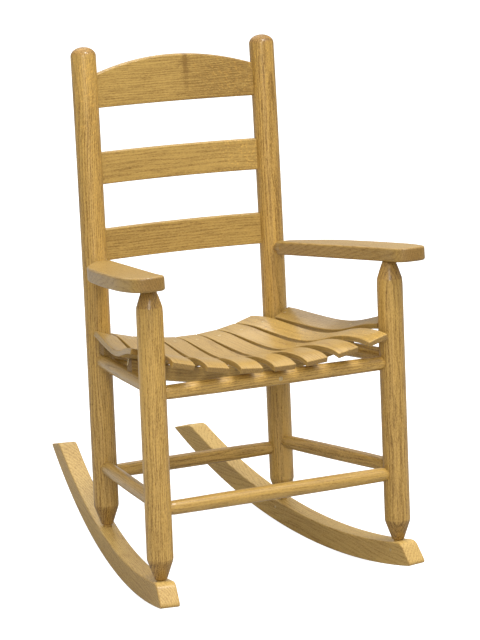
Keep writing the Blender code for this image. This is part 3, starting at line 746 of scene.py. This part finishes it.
def arm(word, side):
    rear = back_axis(arm_top(JOINT_Y) - 0.5 * ARM_THICKNESS, 1) - Vector((0, POST_RADIUS + 0.015, 0))
    run = (rear.y - NOSE_Y) * STRETCH
    bm = sawn(arm_outline(run, ARM_INNER - rear.x, ARM_OUTER - rear.x), ARM_THICKNESS, ARM_EDGE)
    end = turned_end(run)
    bm.from_mesh(end)
    bpy.data.meshes.remove(end)
    nose = Vector((0, NOSE_Y, arm_top(NOSE_Y) - 0.5 * ARM_THICKNESS * STRETCH))
    along = Vector((0, 1, -FALL)).normalized()
    above = Vector((0, FALL, 1)).normalized()

    def place(point):
        return nose + along * point.x + above * point.z + Vector((side * (rear.x + point.y), 0, 0))

    finish("arm_" + word, bm, place, ARM_OAK, log_place(), "pale_oak")


for word, side in SIDES:
    arm(word, side)
print(PIECES[-2:])

# %% [markdown]
# A rocker is an arc of about 900 mm radius, sawn from a plank 27 mm thick. Its lowest point
# lies under the chair's balance point, so that the empty chair stands level. The outline is
# drawn straight, cut into short lengths and then curved, because a curve needs points to
# follow. The grain is recorded afterwards: the curve is sawn, not bent.

# %% Rockers
ROCKER_RADIUS, ROCKER_HEIGHT, REST = 0.900, 0.032, 0.197
PLANK, ROCKER_EDGE, ROCKER_LENGTHS = 0.027, 0.0018, 70
NOSE, NOSE_TOP, TAIL, TAIL_TOP = -0.0462, -0.0212, 0.5535, 0.5065
SPLAY = math.atan2(FRONT_HALF - BACK_HALF, BACK_Y - FRONT_Y)
FOOT_Z = 0.0547  # the front post's middle line at this height is the rocker's own zero


def side_shade_and_noses(normal):
    """The noses are end grain, and the sides carry painted shade that keeps them darker than the top."""
    return 0.58 * abs(normal.z) + 0.62 * abs(normal.x)


def arc(along, up):
    """Height over the floor of a point this far along the rocker and this far above its sole."""
    return ROCKER_RADIUS - math.sqrt((ROCKER_RADIUS - up) ** 2 - (along - REST) ** 2)


def rocker(word, side):
    bm = sawn(closed_outline([
        (NOSE, 0, 0.0085), (TAIL, 0, 0.0065), (TAIL_TOP, ROCKER_HEIGHT, 0.009),
        (NOSE_TOP, ROCKER_HEIGHT, 0.009),
    ]), PLANK, ROCKER_EDGE)
    for step in range(1, ROCKER_LENGTHS):
        cut = NOSE + (TAIL - NOSE) * step / ROCKER_LENGTHS
        bmesh.ops.bisect_plane(bm, geom=bm.verts[:] + bm.edges[:] + bm.faces[:],
                               plane_co=(cut, 0, 0), plane_no=(1, 0, 0))
    for vertex in bm.verts:
        vertex.co.y = arc(vertex.co.x, vertex.co.y)
    foot = front_axis(FOOT_Z, side)
    back = Vector((-side * math.sin(SPLAY), math.cos(SPLAY), 0))
    across = back.cross(Vector((0, 0, 1)))

    def place(point):
        return Vector((foot.x, foot.y, 0)) + back * point.x + Vector((0, 0, point.y)) + across * point.z

    # The rockers' sides are darkened as painted shade, through the same value as end grain.
    finish("rocker_" + word, bm, place, ROCKER_OAK, log_place(), "oak", cross_grain_and_shade_by=side_shade_and_noses)


for word, side in SIDES:
    rocker(word, side)
print(PIECES[-2:])

# %% [markdown]
# The seat is nine thin slats bent over two curved cleats. They fan out to the front. The
# surface dips behind the front edge and rises at both sides, like a saddle. One function gives
# its height, and the slats, the cleats and the nails all follow it.

# %% Seat surface
SLAT_LENGTH = 0.3155
SEAT_FRONT, SEAT_REAR = FRONT_Y - 0.0024, BACK_Y + 0.0374
ORIGIN_Y = FRONT_Y - 0.0109


def seat_height(x, y):
    """Height of the seat's top: a raised front with a rounded lip, a drop at the rear, and a
    dish from side to side that deepens towards the back."""
    y = y - ORIGIN_Y
    hump = 0.038 / (1 + math.exp((y - 0.1135) / 0.026))
    lip = 0.0042 * max(0.0, (0.045 - y) / 0.0365) ** 3
    drop = 0.0045 * max(0.0, (y - 0.270) / 0.054) ** 2
    dish = 0.78 + 0.54 * (y - 0.0085) / SLAT_LENGTH
    return 0.2934 + hump - lip - drop + dish * x * x


def seat_normal(x, y):
    step = 0.0005
    slope_x = (seat_height(x + step, y) - seat_height(x - step, y)) / (2 * step)
    slope_y = (seat_height(x, y + step) - seat_height(x, y - step)) / (2 * step)
    return Vector((-slope_x, -slope_y, 1)).normalized()


print("the seat is", round(1000 * seat_height(0, SEAT_FRONT)), "mm up in front and",
      round(1000 * seat_height(0, SEAT_REAR)), "mm at the back")

# %% [markdown]
# Each slat is made straight and then laid on the seat's surface, flat across its width. The
# outer two stop between the posts, and the others end on a slight curve.

# %% Seat slats
SLAT_WIDTH, SLAT_THICKNESS, SLAT_EDGE = 0.0315, 0.008, 0.0013
OUTER_SLATS, QUARTER_SAWN = (-4, 4), 3


def slat_centre(number, y):
    """The x of a slat's middle line, for slats numbered from -4 on the left to 4 on the right."""
    share = (y - SEAT_FRONT) / (SEAT_REAR - SEAT_FRONT)
    return number * (0.0475 - 0.0151 * share)


def slat_ends(number, x):
    """The y of a slat's front end and of its rear end at this x."""
    if number in OUTER_SLATS:
        rear = BACK_Y - POST_RADIUS + 0.0164 + 0.40 * (abs(x) - 0.1195)
        return FRONT_Y + POST_RADIUS + 0.0361, rear
    return SEAT_FRONT + 0.4 * x * x, SEAT_REAR + 1.1 * x * x


def seat_slat(number):
    bm = board((SLAT_LENGTH, SLAT_WIDTH, SLAT_THICKNESS), SLAT_EDGE, ((0, 64),))

    def place(point):
        share = point.x / SLAT_LENGTH + 0.5
        x = slat_centre(number, 0.5 * (SEAT_FRONT + SEAT_REAR))
        for _ in range(6):
            front, rear = slat_ends(number, x)
            y = front + (rear - front) * share
            x = slat_centre(number, y) + point.y
        middle = slat_centre(number, y)
        slope = (seat_height(middle + 0.01, y) - seat_height(middle - 0.01, y)) / 0.02
        across = Vector((1, 0, slope)).normalized()
        on_top = Vector((middle, y, seat_height(middle, y)))
        down = SLAT_THICKNESS / 2 - point.z
        return on_top + across * (x - middle) - seat_normal(middle, y) * down

    fleck = (lambda point: 1.0) if number == QUARTER_SAWN else None
    finish(f"seat_slat_{number + 5}", bm, place, SEAT_OAK, log_place(), "pale_oak", fleck)


for number in range(-4, 5):
    seat_slat(number)
print(PIECES[-9:])

# %% [markdown]
# The cleats are the curved boards under the slats. They sit across the side rungs, notched
# over them, and carry the nails.

# %% Cleats
CLEAT_DEPTH, CLEAT_HEIGHT, CLEAT_EDGE = 0.018, 0.022, 0.0012
CLEAT_GAP = 0.0004
CLEAT_Y = {
    word: 0.5 * sum(corner.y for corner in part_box("seat_cleat_" + word)) for word in ("front", "rear")
}


def cleat(word):
    low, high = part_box("seat_cleat_" + word)

    def place(point):
        y = CLEAT_Y[word] + point.y
        top = seat_height(point.x, y) - (SLAT_THICKNESS + CLEAT_GAP) / seat_normal(point.x, y).z
        return Vector((point.x, y, top - CLEAT_HEIGHT / 2 + point.z))

    bm = board((high.x - low.x, CLEAT_DEPTH, CLEAT_HEIGHT), CLEAT_EDGE, ((0, 24),), segments=2)
    finish("seat_cleat_" + word, bm, place, BACK_OAK, log_place(), "oak")


for word in CLEAT_Y:
    cleat(word)
print(PIECES[-2:])

# %% [markdown]
# Brass-plated nails hold the slats, four pins lock the post tenons in the rockers, and one
# screw with a ring-shaped head goes into the front rung. Their heads are all one shape at
# different sizes: a low dome with a dimple, spun from a short profile.

# %% Plated metal and the shape of a head
def plated(name):
    material = bpy.data.materials.new(name)
    material.use_nodes = True
    tree = material.node_tree
    shader = tree.nodes["Principled BSDF"]
    place = node(tree, "ShaderNodeTexCoord")
    worn = ramp(tree, noise(tree, place.outputs["Object"], (900.0, 900.0, 900.0)), 0.35, 0.7)
    colour = blend_colours(tree, worn, (0.62, 0.50, 0.28, 1), (0.40, 0.29, 0.14, 1))
    tree.links.new(colour, shader.inputs["Base Color"])
    tree.links.new(maths(tree, "MULTIPLY_ADD", worn, 0.2, 0.38), shader.inputs["Roughness"])
    shader.inputs["Metallic"].default_value = 1.0
    return material


PLATED = plated("brass plated steel")


def head(node_name, centre, outward, radius, proud, length):
    """A nail, pin or screw whose head stands this proud of the wood at its centre."""
    profile = [
        (-length, 0), (-length + 0.002, 0.45 * radius), (-0.0010, 0.45 * radius),
        (-0.0008, 0.96 * radius), (0.0, radius), (0.6 * proud, 0.90 * radius),
        (proud, 0.62 * radius), (0.9 * proud, 0.40 * radius), (0.35 * proud, 0.22 * radius),
        (0.3 * proud, 0),
    ]
    finish(node_name, spun(profile, 24), between(centre, centre + outward), PLATED,
           Vector((0, 0, 0)), "plated_steel")


print(PLATED.name, "has", len(PLATED.node_tree.nodes), "nodes")

# %% [markdown]
# A nail stands square to the seat where a slat crosses a cleat. A pin goes level into the
# inner side of a rocker. The screw follows the lean of the front rung.

# %% Nails, pins and screw
for word, y in CLEAT_Y.items():
    for number in range(-4, 5):
        x = slat_centre(number, y)
        head(f"seat_nail_{word}_{number + 5}", Vector((x, y, seat_height(x, y))), seat_normal(x, y),
             radius=0.0024, proud=0.0003, length=0.018)
for word, side in SIDES:
    inward = Vector((-side * math.cos(SPLAY), -math.sin(SPLAY), 0))
    for post in ("front", "back"):
        pin = f"rocker_pin_{post}_{word}"
        middle = sum(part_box(pin), Vector()) / 2
        head(pin, middle + inward * 0.0104, inward, radius=0.0019, proud=0.0003, length=0.019)
low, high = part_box("front_rung_screw")
head("front_rung_screw", Vector((0.5 * (low.x + high.x), low.y + 0.0002, high.z - 0.0031)),
     Vector((0, -1, LEAN)).normalized(), radius=0.0030, proud=0.0010, length=0.012)
worst = sorted(PIECES, key=lambda item: -item[1])[:12]
print(len(PIECES), "pieces; the furthest from the packed model, in mm:", worst)

# %% [markdown]
# The floor is a plain matt sheet. It takes the light as a grey would, so that it throws little
# back up at the chair, but the camera sees it glow almost white, as studio paper does.

# %% Floor
floor_mesh = bpy.data.meshes.new("studio_floor")
bm = bmesh.new()
bmesh.ops.create_grid(bm, x_segments=2, y_segments=2, size=15)
bm.to_mesh(floor_mesh)
bm.free()
floor = bpy.data.objects.new("studio_floor", floor_mesh)
bpy.context.scene.collection.objects.link(floor)
paint = bpy.data.materials.new("white floor")
paint.use_nodes = True
shader = paint.node_tree.nodes["Principled BSDF"]
shader.inputs["Base Color"].default_value = (0.38, 0.38, 0.38, 1)
shader.inputs["Roughness"].default_value = 0.9
shader.inputs["Emission Color"].default_value = (1, 1, 1, 1)
seen = node(paint.node_tree, "ShaderNodeLightPath")
glow = maths(paint.node_tree, "MULTIPLY", seen.outputs["Is Camera Ray"], 0.96)
paint.node_tree.links.new(glow, shader.inputs["Emission Strength"])
floor_mesh.materials.append(paint)
floor.location.z = CAD_BOX[0].z - 0.0005
print("the floor lies at", round(floor.location.z, 4))

# %% [markdown]
# The sky is brightest overhead and dim near the horizon, so the edges of the round posts stay
# a little darker than their middles. The camera itself sees a white backdrop.

# %% Sky
world = bpy.data.worlds.new("studio sky")
bpy.context.scene.world = world
world.use_nodes = True
tree = world.node_tree
sky = tree.nodes["Background"]
direction = node(tree, "ShaderNodeTexCoord")
parts = node(tree, "ShaderNodeSeparateXYZ")
tree.links.new(direction.outputs["Generated"], parts.inputs[0])
height = maths(tree, "MAXIMUM", parts.outputs[2], 0.0)
glow = maths(tree, "MULTIPLY_ADD", maths(tree, "MULTIPLY", height, height), 1.50, 0.36)
seen = node(tree, "ShaderNodeLightPath")
backdrop = maths(tree, "MULTIPLY", seen.outputs["Is Camera Ray"], 1.20)
tree.links.new(maths(tree, "MAXIMUM", glow, backdrop), sky.inputs["Strength"])
sky.inputs["Color"].default_value = (1.0, 1.0, 1.0, 1)
print("the sky has", len(tree.nodes), "nodes")

# %% [markdown]
# The main lamp hangs high, just in front of the chair. A second stands at the front left, and a
# broad weak one behind lights the backs of the posts.

# %% Lamps
LAMP_TARGET = Vector((0, 0, 0.3))


def softbox(name, place, size, power):
    lamp = bpy.data.lights.new(name, "AREA")
    lamp.size = size
    lamp.energy = power
    made = bpy.data.objects.new(name, lamp)
    made.location = place
    made.rotation_euler = (LAMP_TARGET - Vector(place)).to_track_quat("-Z", "Y").to_euler()
    bpy.context.scene.collection.objects.link(made)
    print(name, power, "W,", round(1000 * size), "mm square")


softbox("key_light", (0.3, -0.9, 2.9), 0.9, 60)
softbox("front_light", (-1.3, -2.8, 1.7), 1.1, 42)
softbox("rear_light", (0.2, 2.2, 2.4), 2.2, 18)

# %% [markdown]
# The camera looks at the chair from its front left and a little above, through a long lens,
# so that the posts stay almost parallel.

# %% Camera and finish
lens = bpy.data.cameras.new("camera")
lens.sensor_width = 36
lens.lens = 140.06
lens.clip_end = 60
camera = bpy.data.objects.new("camera", lens)
bpy.context.scene.collection.objects.link(camera)
azimuth, elevation = math.radians(-25.680), math.radians(15.044)
backward = Vector((
    math.sin(azimuth) * math.cos(elevation), -math.cos(azimuth) * math.cos(elevation),
    math.sin(elevation),
))
turn = backward.to_track_quat("Z", "Y").to_matrix().to_4x4()
camera.matrix_world = Matrix.Translation((-1.4053, FRONT_Y - 2.7872, 1.2262)) @ turn
bpy.context.scene.camera = camera
bpy.context.scene.view_settings.view_transform = "Standard"
